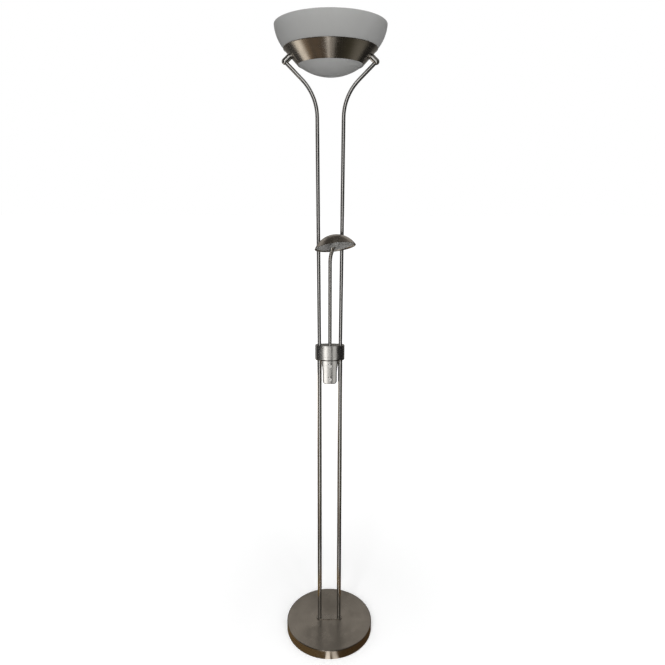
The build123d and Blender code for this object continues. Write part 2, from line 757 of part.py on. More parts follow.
def crook_plane(distance):
    """The section plane of the crook at a distance along it from the last joint."""
    last = joint_height(joint_count - 1)
    turned = min(max(distance - crook_start, 0) / crook_radius, radians(crook_turn))
    beyond = max(distance - crook_start - crook_radius * radians(crook_turn), 0)
    straight = min(distance, crook_start)
    aside = crook_radius * (1 - cos(turned))
    rise = straight + crook_radius * sin(turned)
    origin = Vector(0, arm_y, last + rise) + arm_heading() * aside
    direction = Vector(0, 0, 1) * cos(turned) + arm_heading() * sin(turned)
    side = direction.cross(Vector(0, 0, 1) * -sin(turned) + arm_heading() * cos(turned))
    return Plane(origin=origin + direction * beyond, x_dir=side, z_dir=direction)


def upright_plane(low):
    def plane_at(distance):
        return Plane(origin=(0, arm_y, low + distance), x_dir=(1, 0, 0), z_dir=(0, 0, 1))
    return plane_at


def ribbed(plane_at, length):
    """A ruled tube with as many ribs as its length holds, four circles to a rib."""
    count = int(length / rib_pitch)
    margin = (length - count * rib_pitch) / 2
    circles = [(0.0, arm_root_radius)]
    for index in range(count):
        start = margin + index * rib_pitch
        foot = rib_pitch * rib_flat
        crest = foot + rib_pitch * rib_flank
        circles.append((start + foot, arm_root_radius))
        circles.append((start + crest, arm_crest_radius))
        circles.append((start + rib_pitch - crest, arm_crest_radius))
        circles.append((start + rib_pitch - foot, arm_root_radius))
    circles.append((length, arm_root_radius))
    sections = [plane_at(distance) * Circle(radius) for distance, radius in circles]
    return loft(sections, ruled=True)


def ball(height, radius):
    return Pos(0, arm_y, height) * Sphere(radius)


def crook_length():
    return crook_start + crook_radius * radians(crook_turn) + reach


def ferrule_end():
    """Distance along the crook at which the ferrule meets the hub's side."""
    rise = crook_plane(crook_length()).z_dir.dot(head_up())
    radius = arm_root_radius + running_gap + ferrule_wall
    return crook_length() - (hub_radius + running_gap + radius * rise) / sqrt(1 - rise ** 2)


def make_arm():
    base_length = first_joint_height - shoulder_drop - collar_top
    thread_low = cap_low - arm_nut_height - thread_end
    base = ribbed(upright_plane(collar_top), base_length)
    base += post(arm_thread_radius, thread_low, collar_top, 0, arm_y)
    base += ball(first_joint_height, ball_radius)
    base -= post(arm_bore, thread_low, first_joint_height + joint_pitch, 0, arm_y)
    write("arm_base", base)
    nut = hex_nut((0, arm_y, cap_low), (0, 0, -1), arm_nut_across, arm_nut_height, arm_thread_radius)
    write("arm_nut", nut)
    for index in range(joint_count - 1):
        low = joint_height(index)
        high = joint_height(index + 1)
        link = ribbed(upright_plane(low), joint_pitch - shoulder_drop)
        link += ball(high, ball_radius)
        link -= ball(low, ball_radius + joint_gap)
        link -= post(arm_bore, low, high + joint_pitch, 0, arm_y)
        write("arm_link_" + str(index + 1), link)

    low = joint_height(joint_count - 1)
    end = crook_length() - hub_radius + arm_into_hub
    sleeve_start = ferrule_end() - ferrule_length
    crook = ribbed(crook_plane, sleeve_start)
    tail = crook_plane(sleeve_start)
    crook += pin(tail.origin, tail.z_dir, arm_root_radius, end - sleeve_start)
    crook -= ball(low, ball_radius + joint_gap)
    first = crook_plane(0).origin
    bend_start = crook_plane(crook_start)
    bend_end = crook_plane(crook_start + crook_radius * radians(crook_turn))
    wire_way = Line(first, bend_start.origin)
    wire_way += TangentArc(bend_start.origin, bend_end.origin, tangent=bend_start.z_dir)
    wire_way += Line(bend_end.origin, crook_plane(end).origin)
    crook -= sweep(crook_plane(0) * Circle(arm_bore), path=wire_way)
    write("arm_crook", crook)
    ferrule = pin(tail.origin, tail.z_dir, arm_root_radius + running_gap + ferrule_wall, ferrule_length)
    ferrule -= pin(tail.origin, tail.z_dir, arm_root_radius + running_gap, ferrule_length)
    write("arm_ferrule", ferrule)


# --- Reading head ------------------------------------------------------------------------------------------------------
def head_up():
    tilt = radians(head_tilt)
    roll = radians(head_roll)
    return Vector(-sin(roll) * cos(tilt), sin(tilt), cos(roll) * cos(tilt))


def head_plane():
    """Origin at the centre of the head's rim, +Z out of its crown, +X the way the arm points."""
    arm_end = crook_plane(crook_length())
    up = head_up()
    origin = arm_end.origin - up * hub_over_rim
    forward = arm_end.z_dir - up * arm_end.z_dir.dot(up)
    return Plane(origin=origin, x_dir=forward, z_dir=up)


def cap_of_sphere(inset, low):
    """The dome's sphere, made smaller by inset and kept above a height over the rim plane."""
    radius = (head_rim_radius ** 2 + head_height ** 2) / (2 * head_height)
    sphere = Pos(0, 0, head_height - radius) * Sphere(radius - inset)
    return sphere & post(2 * radius, low, 2 * head_height)


def sphere_height(inset, radius):
    """Height over the rim plane of the dome's sphere, made smaller by inset, at a radius."""
    dome = (head_rim_radius ** 2 + head_height ** 2) / (2 * head_height)
    return head_height - dome + sqrt((dome - inset) ** 2 - radius ** 2)


def sphere_radius(inset, height):
    """Radius of the dome's sphere, made smaller by inset, at a height over the rim plane."""
    dome = (head_rim_radius ** 2 + head_height ** 2) / (2 * head_height)
    return sqrt((dome - inset) ** 2 - (height + dome - head_height) ** 2)


def make_head():
    plane = head_plane()
    dome = cap_of_sphere(0, 0) - cap_of_sphere(head_wall, 0)
    lip = cap_of_sphere(0, 0) & post(head_rim_radius, 0, head_wall)
    dome += lip - post(head_rim_radius - head_lip, 0, head_wall)
    stud_low = head_height - stud_length
    dome += cap_of_sphere(head_wall, stud_low) & post(stud_radius, stud_low, head_height)
    write("head_dome", plane * dome)

    dish_outset = head_wall + dish_gap
    dish = cap_of_sphere(dish_outset, dish_rim_height)
    dish -= cap_of_sphere(dish_outset + dish_wall, dish_rim_height)
    flange_top = dish_rim_height + dish_wall
    flange_radius = sphere_radius(head_wall, flange_top) - joint_gap
    flange_bore = sphere_radius(dish_outset + dish_wall, dish_rim_height)
    dish += tube(flange_radius, flange_bore, dish_rim_height, flange_top)
    dish -= post(stud_radius + running_gap, head_height / 2, 2 * head_height)
    write("head_reflector", plane * dish)

    arm_end = crook_plane(crook_length())
    neck_top = sphere_height(dish_outset + dish_wall, hub_neck_radius)
    hub = post(hub_radius, hub_low, hub_high)
    hub += post(hub_neck_radius, hub_high, neck_top)
    hub -= post(stud_radius, stud_low, 2 * head_height)
    hub = plane * hub
    hub -= pin(
        arm_end.origin - arm_end.z_dir * (hub_radius - arm_into_hub),
        -arm_end.z_dir, arm_root_radius + running_gap, hub_radius,
    )
    wire_hole = pin((-hub_radius / 2, 0, head_lamp_height), (1, 0, 0), arm_bore, 2 * hub_radius)
    hub -= plane * wire_hole
    write("head_hub", hub)

    holder_end = hub_radius + head_holder_length
    holder = pin((0, 0, head_lamp_height), (1, 0, 0), head_holder_radius, holder_end)
    holder -= post(hub_radius, hub_low - head_height, hub_high)
    write("head_lamp_holder", plane * holder)
    straight = head_lamp_length - head_lamp_radius
    lamp = pin((holder_end, 0, head_lamp_height), (1, 0, 0), head_lamp_radius, straight)
    tip = Pos(holder_end + straight, 0, head_lamp_height)
    lamp += tip * Sphere(head_lamp_radius)
    write("head_lamp", plane * lamp)


if __name__ == "__main__":
    os.makedirs("parts", exist_ok=True)
    make_base()
    make_poles_and_rods()
    make_collar()
    make_dimmer()
    make_knuckles()
    make_ring_and_bowl()
    make_bowl_lamp()
    make_arm()
    make_head()
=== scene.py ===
# %% [markdown]
# # A torchiere floor lamp with a reading light
#
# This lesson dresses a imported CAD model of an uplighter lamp: a weighted base, two poles, a dimmer
# housing, a frosted glass bowl in a metal ring, and a small reading head on a flexible arm. The CAD
# nodes already have their true sizes and places, and they move on real joints. So nothing is scaled
# or shifted here. Pieces whose CAD shape is right get a new finish, and pieces that need finer
# curves are modelled again in the same place.

# %% Load the frame
import math

import bpy
from mathutils import Matrix, Vector


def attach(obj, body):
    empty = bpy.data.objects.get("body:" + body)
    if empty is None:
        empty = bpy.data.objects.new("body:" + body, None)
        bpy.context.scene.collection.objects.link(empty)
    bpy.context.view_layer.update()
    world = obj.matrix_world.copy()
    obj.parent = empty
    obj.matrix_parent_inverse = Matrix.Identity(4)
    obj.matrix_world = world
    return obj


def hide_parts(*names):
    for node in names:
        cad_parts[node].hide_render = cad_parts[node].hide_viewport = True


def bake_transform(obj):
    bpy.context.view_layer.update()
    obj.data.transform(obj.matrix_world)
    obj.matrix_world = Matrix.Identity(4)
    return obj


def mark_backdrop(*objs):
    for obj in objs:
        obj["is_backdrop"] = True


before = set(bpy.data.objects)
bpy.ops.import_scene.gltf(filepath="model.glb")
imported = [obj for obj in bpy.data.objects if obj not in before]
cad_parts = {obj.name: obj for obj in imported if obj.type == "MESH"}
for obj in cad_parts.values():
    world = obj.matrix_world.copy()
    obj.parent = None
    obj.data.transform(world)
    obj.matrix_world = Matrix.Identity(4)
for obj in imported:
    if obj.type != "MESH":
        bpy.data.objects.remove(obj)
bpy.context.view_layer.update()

# %% [markdown]
# ## The camera
#
# The photograph looks slightly down from just above the reading head: the bowl is seen from below, and
# the top of the base from above. The distance, the height and the tilt were fitted to the base, the
# poles and the rim. A picture that was cropped off its centre has its vanishing point off the middle,
# and the camera's shift gives that without any distortion.

# %% Camera
PHOTO_WIDTH = 665
SENSOR_WIDTH = 36
FOCAL_PIXELS = 559.55
CENTRE_COLUMN = 330.0
CENTRE_ROW = 300.94
CAMERA_PLACE = Vector((0.0, -1.5717, 1.3739))
CAMERA_TILT = 0.193
CAMERA_ROLL = 0.00243

bpy.ops.object.camera_add(location=CAMERA_PLACE)
camera = bpy.context.object
camera.name = "camera"
camera.matrix_world = (
    Matrix.Translation(CAMERA_PLACE)
    @ Matrix.Rotation(math.pi / 2 - CAMERA_TILT, 4, "X")
    @ Matrix.Rotation(CAMERA_ROLL, 4, "Z")
)
camera.data.sensor_width = SENSOR_WIDTH
camera.data.lens = FOCAL_PIXELS * SENSOR_WIDTH / PHOTO_WIDTH
camera.data.shift_x = (PHOTO_WIDTH / 2 - CENTRE_COLUMN) / PHOTO_WIDTH
camera.data.shift_y = (CENTRE_ROW - PHOTO_WIDTH / 2) / PHOTO_WIDTH
bpy.context.scene.camera = camera
bpy.context.scene.view_settings.view_transform = "Standard"
print("lens", round(camera.data.lens, 2), "mm, tilt", round(math.degrees(CAMERA_TILT), 2), "degrees")

# %% [markdown]
# ## Small helpers
#
# Every operator acts on all that is selected, and loading the frame leaves the CAD nodes selected.
# So each piece starts with nothing selected, and faces are picked by their place, not by a click.

# %% Helpers for modelling


def select_only(piece):
    """Makes one object the only selected and the active one."""
    bpy.ops.object.select_all(action="DESELECT")
    piece.select_set(True)
    bpy.context.view_layer.objects.active = piece


def settle(piece, name, smooth_angle=35.0):
    """Names a piece, puts its place into its mesh and smooths its curved faces."""
    piece.name = name
    piece.data.name = name
    select_only(piece)
    bpy.ops.object.transform_apply(location=True, rotation=True, scale=True)
    bpy.ops.object.shade_smooth_by_angle(angle=math.radians(smooth_angle))
    return piece


def copy_of(piece, name, offset):
    """A copy with its own mesh, moved by an offset that goes into the mesh."""
    twin = piece.copy()
    twin.data = piece.data.copy()
    bpy.context.scene.collection.objects.link(twin)
    twin.location = offset
    select_only(twin)
    bpy.ops.object.transform_apply(location=True, rotation=True, scale=True)
    twin.name = name
    twin.data.name = name
    return twin


def report(piece):
    """Prints what a finished piece measures, in millimetres."""
    corners = [v.co for v in piece.data.vertices]
    size = [1000 * (max(c[i] for c in corners) - min(c[i] for c in corners)) for i in range(3)]
    print(f"{piece.name}: {len(piece.data.polygons)} faces, " + " x ".join(f"{s:.1f}" for s in size) + " mm")


# %% [markdown]
# ## Helpers for node trees
#
# Every finish is a tree of nodes. A short helper adds a node, sets its properties, and links or fills
# its inputs in one line, so that the trees below can be read from top to bottom.

# %% Helpers for node trees


def put(tree, kind, inputs=None, **settings):
    """Adds a node, sets its properties, and links or fills its inputs."""
    node = tree.nodes.new(kind)
    for key, value in settings.items():
        setattr(node, key, value)
    for socket, source in (inputs or {}).items():
        if isinstance(source, bpy.types.NodeSocket):
            tree.links.new(source, node.inputs[socket])
        else:
            node.inputs[socket].default_value = source
    return node


def between(tree, value, low, high, to_low, to_high):
    """Maps a value from one range to another, and clamps it there."""
    inputs = {"Value": value, "From Min": low, "From Max": high, "To Min": to_low, "To Max": to_high}
    return put(tree, "ShaderNodeMapRange", inputs).outputs[0]


def fade(tree, value, start, end):
    """0 up to the start, 1 from the end on, and straight between them. The end may be the lower one."""
    return between(tree, value, start, end, 0.0, 1.0)


def noise_range(tree, noise, to_low, to_high):
    """Spreads the middle of a noise, where most of it lies, over a range."""
    return between(tree, noise, 0.3, 0.7, to_low, to_high)


def calculate(tree, operation, *values, **settings):
    """One sum on numbers or on other nodes' outputs."""
    return put(tree, "ShaderNodeMath", dict(enumerate(values)), operation=operation, **settings).outputs[0]


def calculate_vector(tree, operation, *values):
    """One sum on vectors. A length and a dot product are numbers, and the others are vectors."""
    node = put(tree, "ShaderNodeVectorMath", dict(enumerate(values)), operation=operation)
    return node.outputs["Value" if operation in ("LENGTH", "DOT_PRODUCT") else "Vector"]


def blend_colours(tree, mask, first, second):
    """Mixes two colours by a mask. Each is a colour or another node's output."""
    node = put(tree, "ShaderNodeMix", {0: mask}, data_type="RGBA")
    for index, colour in ((6, first), (7, second)):
        if isinstance(colour, bpy.types.NodeSocket):
            tree.links.new(colour, node.inputs[index])
        else:
            node.inputs[index].default_value = (*colour, 1.0)
    return node.outputs[2]


def seen_by_eye_or_mirror(tree):
    """1 for rays from the camera, for mirror rays and for rays through glass."""
    ray = put(tree, "ShaderNodeLightPath").outputs
    seen = calculate(tree, "MAXIMUM", ray["Is Camera Ray"], ray["Is Glossy Ray"])
    return calculate(tree, "MAXIMUM", seen, ray["Is Transmission Ray"])


# %% [markdown]
# ## Room and light
#
# The photograph is cut out on white, so the background is a white world. Rays from the camera, mirror
# rays and rays through glass see it at full white, and the light that it throws on the lamp is set
# apart, lower. The floor is pale paper with a little glow of its own, which lifts it to the same white
# and leaves the lamp's soft shadow on it.

# %% World and floor
WORLD_LIGHT = 0.42
FLOOR_GLOW_NEAR = 0.34
FLOOR_GLOW_FAR = 0.75
GLOW_RISES = (0.3, 2.0)
FLOOR_SIZE = 60.0
FLOOR_GREY = 0.82
WHITE = (1.0, 1.0, 1.0, 1.0)

world = bpy.data.worlds.new("white_studio")
bpy.context.scene.world = world
world.use_nodes = True
world.node_tree.nodes.clear()
room = put(world.node_tree, "ShaderNodeBackground", {"Color": WHITE, "Strength": WORLD_LIGHT})
white = put(world.node_tree, "ShaderNodeBackground", {"Color": WHITE, "Strength": 1.0})
mix = put(
    world.node_tree, "ShaderNodeMixShader",
    {0: seen_by_eye_or_mirror(world.node_tree), 1: room.outputs[0], 2: white.outputs[0]},
)
put(world.node_tree, "ShaderNodeOutputWorld", {"Surface": mix.outputs[0]})

bpy.ops.object.select_all(action="DESELECT")
bpy.ops.mesh.primitive_plane_add(size=FLOOR_SIZE)
floor = bpy.context.object
floor.name = "studio_floor"
floor_paper = bpy.data.materials.new("floor_paper")
floor_paper.use_nodes = True
tree = floor_paper.node_tree
paper = tree.nodes["Principled BSDF"]
paper.inputs["Base Color"].default_value = (FLOOR_GREY, FLOOR_GREY, FLOOR_GREY, 1.0)
paper.inputs["Roughness"].default_value = 0.9
paper.inputs["Specular IOR Level"].default_value = 0.0
away = calculate_vector(tree, "LENGTH", put(tree, "ShaderNodeTexCoord").outputs["Object"])
rise = between(tree, away, *GLOW_RISES, FLOOR_GLOW_NEAR, FLOOR_GLOW_FAR)
glow = put(tree, "ShaderNodeEmission", {"Strength": rise})
lifted = put(tree, "ShaderNodeAddShader", {0: paper.outputs[0], 1: glow.outputs[0]})
choose = put(
    tree, "ShaderNodeMixShader", {0: seen_by_eye_or_mirror(tree), 1: paper.outputs[0], 2: lifted.outputs[0]}
)
tree.links.new(choose.outputs[0], tree.nodes["Material Output"].inputs["Surface"])
floor.data.materials.append(floor_paper)
print("floor:", FLOOR_SIZE, "m square, world light", WORLD_LIGHT)

# %% [markdown]
# Three area lamps give the soft light: a tall one to the left of the camera, a weaker one to its right
# and a broad one overhead.

# %% Lamps


def soft_lamp(name, place, aim, width, height, power):
    """A rectangular studio lamp at a place, turned to a point."""
    bpy.ops.object.light_add(type="AREA", location=place)
    lamp = bpy.context.object
    lamp.name = name
    lamp.data.shape = "RECTANGLE"
    lamp.data.size = width
    lamp.data.size_y = height
    lamp.data.energy = power
    lamp.rotation_euler = (Vector(aim) - Vector(place)).to_track_quat("-Z", "Y").to_euler()
    lamp.visible_glossy = False
    print(f"{name}: {width} x {height} m, {power} W")


soft_lamp("key_lamp", (-0.75, -2.6, 2.1), (0.0, 0.0, 1.1), 0.45, 1.6, 30.0)
soft_lamp("fill_lamp", (1.15, -2.3, 1.5), (0.0, 0.0, 1.1), 0.3, 1.6, 14.0)
soft_lamp("top_lamp", (0.0, -0.4, 3.4), (0.0, 0.0, 1.0), 1.6, 1.2, 26.0)

# %% [markdown]
# Bare metal shows what stands round it. In the photograph that is a dim, warm room, bright only in a
# narrow window of lamps towards the camera: that gives the tubes their dark edges and light middle. A
# photographer makes such a room with flags, dark and grey sheets out of the picture. Here it is a
# round screen with a floor and a lid, which mirror rays alone see, so it takes no light from the lamp.
# Its brightness is written by direction, in degrees from the camera's side, positive to the right.

# %% Screens that the metal mirrors
SCREEN_RADIUS = 2.6
SCREEN_HEIGHT = 3.4
SCREEN_SIDES = 96
GROUND_LIFT = 0.001
SCREEN_STEPS = (
    (-180, 0.05), (-150, 0.05), (-118, 0.08), (-104, 0.30), (-88, 0.30), (-72, 0.05), (-24, 0.05),
    (-17, 0.26), (-14.5, 2.0), (-8, 1.9), (-6, 0.78), (2, 0.70), (3.5, 0.08), (6.5, 0.08), (8, 0.80),
    (15.5, 0.70), (18, 0.02), (84, 0.02), (88, 0.22), (94, 0.22), (98, 0.03), (150, 0.02), (180, 0.03),
)
LAMP_WINDOW_TOP = 2.9
NEUTRAL = (1.0, 0.985, 0.96)


def screen_brightness(tree, place):
    """Brightness by direction, from the table above."""
    parts = put(tree, "ShaderNodeSeparateXYZ", {0: place})
    forward = calculate(tree, "MULTIPLY", parts.outputs["Y"], -1.0)
    angle = calculate(tree, "ARCTAN2", parts.outputs["X"], forward)
    ramp = put(tree, "ShaderNodeValToRGB", {0: fade(tree, angle, -math.pi, math.pi)})
    stops = ramp.color_ramp.elements
    for index, (degrees, level) in enumerate(SCREEN_STEPS):
        position = (degrees + 180) / 360
        stop = stops[index] if index < 2 else stops.new(position)
        stop.position = position
        stop.color = (*(level * part for part in NEUTRAL), 1.0)
    return ramp.outputs["Color"]


def screen(piece, name, colour_of):
    """Makes a sheet glow by a function of place, for mirror rays only."""
    piece.name = name
    sheet = bpy.data.materials.new(name)
    sheet.use_nodes = True
    tree = sheet.node_tree
    tree.nodes.remove(tree.nodes["Principled BSDF"])
    place = put(tree, "ShaderNodeTexCoord").outputs["Object"]
    shine = put(tree, "ShaderNodeEmission", {"Color": colour_of(tree, place)})
    tree.links.new(shine.outputs[0], tree.nodes["Material Output"].inputs["Surface"])
    piece.data.materials.append(sheet)
    piece.visible_camera = False
    piece.visible_diffuse = False
    piece.visible_transmission = False
    piece.visible_shadow = False
    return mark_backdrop(piece)


# %% [markdown]
# The wall follows the table up to the top of the lamp window. Behind the lamp it has two bands of its
# own: the reading head mirrors the lower, dim one, and the top of the base the higher, warm grey one.
# Metal that leans down, like the ring, mirrors the ground, and so do the poles below the camera's
# height. So the ground is laid in layers, each with a mask and a colour. Sizes are in metres from the
# lamp's axis, positive to the right and to the back.

# %% Colours of the wall, the ground and the lid
ABOVE_THE_WINDOW = (0.05, 0.047, 0.042)
BEHIND_THE_HEAD = (0.14, 0.135, 0.125)
HIGH_BEHIND = (0.48, 0.46, 0.435)
GROUND_LEFT = (0.31, 0.225, 0.15)
GROUND_RIGHT = (0.085, 0.078, 0.055)
BESIDE_THE_POLES = (0.09, 0.082, 0.07)
BEHIND_THE_POLES = (0.035, 0.032, 0.027)
FAR_RIGHT = (0.24, 0.23, 0.20)
FAR_LEFT_PATCH = (1.5, 1.42, 1.28)
ROUND_THE_POLES_LEFT = (0.085, 0.068, 0.053)
ROUND_THE_POLES_RIGHT = (0.03, 0.026, 0.022)
BESIDE_THE_BASE_LEFT = (0.18, 0.12, 0.055)
BESIDE_THE_BASE_RIGHT = (0.09, 0.055, 0.025)
STREAKS = (1.7, 1.62, 1.52)
RIGHT_STREAK_SHARE = 0.62
LID_LEFT = (0.085, 0.08, 0.073)
LID_RIGHT = (0.22, 0.21, 0.2)


def band(tree, value, low, high, soft):
    """1 between two values, with soft ends."""
    rise = fade(tree, value, low - soft, low + soft)
    fall = fade(tree, value, high + soft, high - soft)
    return calculate(tree, "MULTIPLY", rise, fall)


def wall_colour(tree, place):
    """The table's brightness, with a dim top in front and two bands behind."""
    parts = put(tree, "ShaderNodeSeparateXYZ", {0: place})
    in_front = fade(tree, parts.outputs["Y"], 0.0, -0.6)
    behind = fade(tree, parts.outputs["Y"], 0.4, 1.2)
    wall = screen_brightness(tree, place)
    for where, low, high, colour in (
        (in_front, LAMP_WINDOW_TOP, LAMP_WINDOW_TOP + 0.3, ABOVE_THE_WINDOW),
        (behind, 1.0, 1.2, BEHIND_THE_HEAD),
        (behind, 1.75, 1.95, HIGH_BEHIND),
    ):
        mask = calculate(tree, "MULTIPLY", fade(tree, parts.outputs["Z"], low, high), where)
        wall = blend_colours(tree, mask, wall, colour)
    return wall


def lamps_in_the_ground(tree, side, back):
    """How far the ground in front follows the table: fully from 0.9 m on, and partly nearer the lamp."""
    far = between(tree, back, -0.6, -0.9, 0.0, 0.7)
    near = between(tree, back, -0.2, -0.3, 0.0, 0.3)
    nearest = calculate(tree, "MULTIPLY", band(tree, back, -0.42, -0.22, 0.04), band(tree, side, -0.2, 0.2, 0.05))
    return calculate(tree, "MULTIPLY_ADD", nearest, 0.5, calculate(tree, "ADD", far, near))


def streaks_by_the_foot(tree, side, back):
    """Two lamps mirrored in the floor right in front of the foot, the left one brighter."""
    left, right = band(tree, side, -0.012, 0.003, 0.002), band(tree, side, 0.011, 0.029, 0.004)
    both = calculate(tree, "MULTIPLY_ADD", right, RIGHT_STREAK_SHARE, left)
    return calculate(tree, "MULTIPLY", both, band(tree, back, -0.27, -0.08, 0.03))


def ground_colour(tree, place):
    """A brown floor, dark on the right, with a layer for each part that the metal mirrors."""
    parts = put(tree, "ShaderNodeSeparateXYZ", {0: place})
    side, back = parts.outputs["X"], parts.outputs["Y"]
    away = calculate_vector(tree, "LENGTH", place)

    def where(first, second):
        return calculate(tree, "MULTIPLY", first, second)

    round_poles = blend_colours(tree, fade(tree, side, -0.1, 0.1), ROUND_THE_POLES_LEFT, ROUND_THE_POLES_RIGHT)
    beside_base = blend_colours(tree, fade(tree, side, -0.05, 0.05), BESIDE_THE_BASE_LEFT, BESIDE_THE_BASE_RIGHT)
    layers = (
        (where(band(tree, side, -1.2, -0.6, 0.1), fade(tree, back, -0.35, -0.25)), BESIDE_THE_POLES),
        (where(band(tree, side, -1.2, 1.2, 0.1), fade(tree, back, 0.1, 0.35)), BEHIND_THE_POLES),
        (fade(tree, side, 1.2, 1.7), FAR_RIGHT),
        (where(fade(tree, side, -1.2, -1.5), fade(tree, back, 0.1, 0.4)), FAR_LEFT_PATCH),
        (where(fade(tree, away, 0.78, 0.66), fade(tree, back, -0.52, -0.42)), round_poles),
        (lamps_in_the_ground(tree, side, back), screen_brightness(tree, place)),
        (fade(tree, away, 0.30, 0.24), beside_base),
        (streaks_by_the_foot(tree, side, back), STREAKS),
    )
    ground = blend_colours(tree, fade(tree, side, -0.25, 0.25), GROUND_LEFT, GROUND_RIGHT)
    for mask, colour in layers:
        ground = blend_colours(tree, mask, ground, colour)
    return ground


def lid_colour(tree, place):
    """A dim ceiling, paler towards the right."""
    side = put(tree, "ShaderNodeSeparateXYZ", {0: place}).outputs["X"]
    return blend_colours(tree, fade(tree, side, 0.2, 1.6), LID_LEFT, LID_RIGHT)


# %% Set up the screens
bpy.ops.object.select_all(action="DESELECT")
bpy.ops.mesh.primitive_cylinder_add(
    vertices=SCREEN_SIDES, radius=SCREEN_RADIUS, depth=SCREEN_HEIGHT, end_fill_type="NOTHING",
    location=(0.0, 0.0, SCREEN_HEIGHT / 2),
)
bpy.ops.object.transform_apply(location=True, rotation=True, scale=True)
screen(bpy.context.object, "screen_wall", wall_colour)
for name, height, colour_of in (
    ("screen_ground", GROUND_LIFT, ground_colour),
    ("screen_lid", SCREEN_HEIGHT, lid_colour),
):
    bpy.ops.object.select_all(action="DESELECT")
    bpy.ops.mesh.primitive_circle_add(
        vertices=SCREEN_SIDES, radius=SCREEN_RADIUS, fill_type="NGON", location=(0.0, 0.0, height)
    )
    bpy.ops.object.transform_apply(location=True, rotation=True, scale=True)
    screen(bpy.context.object, name, colour_of)
print("screens stand", SCREEN_RADIUS, "m from the lamp")

# %% [markdown]
# ## Node groups that several finishes share
#
# Brushed lines, smudges, worn edges and dust turn up on many pieces, so each is a group with named
# inputs, built once. A group gives only masks and heights. The shader itself stays in each material,
# where the values that never change over a surface are set on its own sockets.

# %% Helpers for groups


def new_group(name, inputs, output):
    """An empty group with named inputs and one output. Returns the group and its two end nodes."""
    group = bpy.data.node_groups.new(name, "ShaderNodeTree")
    for label, kind, value in inputs:
        socket = group.interface.new_socket(label, in_out="INPUT", socket_type=kind)
        if value is not None:
            socket.default_value = value
    group.interface.new_socket(output, in_out="OUTPUT", socket_type="NodeSocketFloat")
    return group, group.nodes.new("NodeGroupInput"), group.nodes.new("NodeGroupOutput")


def use_group(tree, group, **inputs):
    """Places a group in a material and returns its output."""
    node = put(tree, "ShaderNodeGroup", node_tree=group)
    for label, source in inputs.items():
        socket = node.inputs[label]
        if isinstance(source, bpy.types.NodeSocket):
            tree.links.new(source, socket)
        else:
            socket.default_value = source
    return node.outputs[0]


# %% [markdown]
# A cover or a ring is brushed while it spins on a lathe, so its lines run round the axis. The pattern
# reads the distance from the axis, and only slowly the direction from it. A pole is pulled through a
# belt, so its lines run along it.

# %% Brushed lines
turned_lines, ends_in, ends_out = new_group(
    "turned_lines",
    [("Place", "NodeSocketVector", None), ("Fineness", "NodeSocketFloat", 500.0)],
    "Lines",
)
flat = calculate_vector(turned_lines, "MULTIPLY", ends_in.outputs["Place"], (1.0, 1.0, 0.0))
heading = calculate_vector(turned_lines, "NORMALIZE", flat)
height = put(turned_lines, "ShaderNodeSeparateXYZ", {0: ends_in.outputs["Place"]}).outputs["Z"]
slope = calculate(turned_lines, "ADD", calculate_vector(turned_lines, "LENGTH", flat), height)
depth = calculate(turned_lines, "MULTIPLY", slope, ends_in.outputs["Fineness"])
noise = put(
    turned_lines, "ShaderNodeTexNoise",
    {"Vector": heading, "W": depth, "Scale": 0.8, "Detail": 4.0, "Roughness": 0.6},
    noise_dimensions="4D",
)
turned_lines.links.new(noise_range(turned_lines, noise.outputs[0], 0.0, 1.0), ends_out.inputs[0])

drawn_lines, ends_in, ends_out = new_group(
    "drawn_lines",
    [("Place", "NodeSocketVector", None), ("Fineness", "NodeSocketFloat", 500.0), ("Length", "NodeSocketFloat", 12.0)],
    "Lines",
)
stretch = put(
    drawn_lines, "ShaderNodeCombineXYZ",
    {0: ends_in.outputs["Fineness"], 1: ends_in.outputs["Fineness"], 2: ends_in.outputs["Length"]},
)
long_way = calculate_vector(drawn_lines, "MULTIPLY", ends_in.outputs["Place"], stretch.outputs[0])
noise = put(drawn_lines, "ShaderNodeTexNoise", {"Vector": long_way, "Scale": 1.0, "Detail": 4.0})
drawn_lines.links.new(noise_range(drawn_lines, noise.outputs[0], 0.0, 1.0), ends_out.inputs[0])

# %% [markdown]
# Hands leave soft smudges where a lamp is touched, edges are polished by handling, and dust settles
# on whatever faces up. The edge mask compares the true normal with one that is rounded over a small
# radius: they differ only beside an edge.

# %% Smudges, worn edges and dust
smudges, ends_in, ends_out = new_group(
    "smudges", [("Place", "NodeSocketVector", None), ("Size", "NodeSocketFloat", 25.0)], "Mask"
)
noise = put(
    smudges, "ShaderNodeTexNoise",
    {"Vector": ends_in.outputs["Place"], "Scale": ends_in.outputs["Size"], "Detail": 5.0, "Roughness": 0.55,
     "Distortion": 0.6},
)
smudges.links.new(fade(smudges, noise.outputs[0], 0.42, 0.68), ends_out.inputs[0])

worn_edges, ends_in, ends_out = new_group("worn_edges", [("Gain", "NodeSocketFloat", 6.0)], "Mask")
rounded = put(worn_edges, "ShaderNodeBevel", {"Radius": 0.0008}, samples=4)
true_normal = put(worn_edges, "ShaderNodeNewGeometry").outputs["Normal"]
agree = calculate_vector(worn_edges, "DOT_PRODUCT", rounded.outputs[0], true_normal)
differ = calculate(worn_edges, "SUBTRACT", 1.0, agree)
gained = calculate(worn_edges, "MULTIPLY", differ, ends_in.outputs["Gain"], use_clamp=True)
worn_edges.links.new(gained, ends_out.inputs[0])

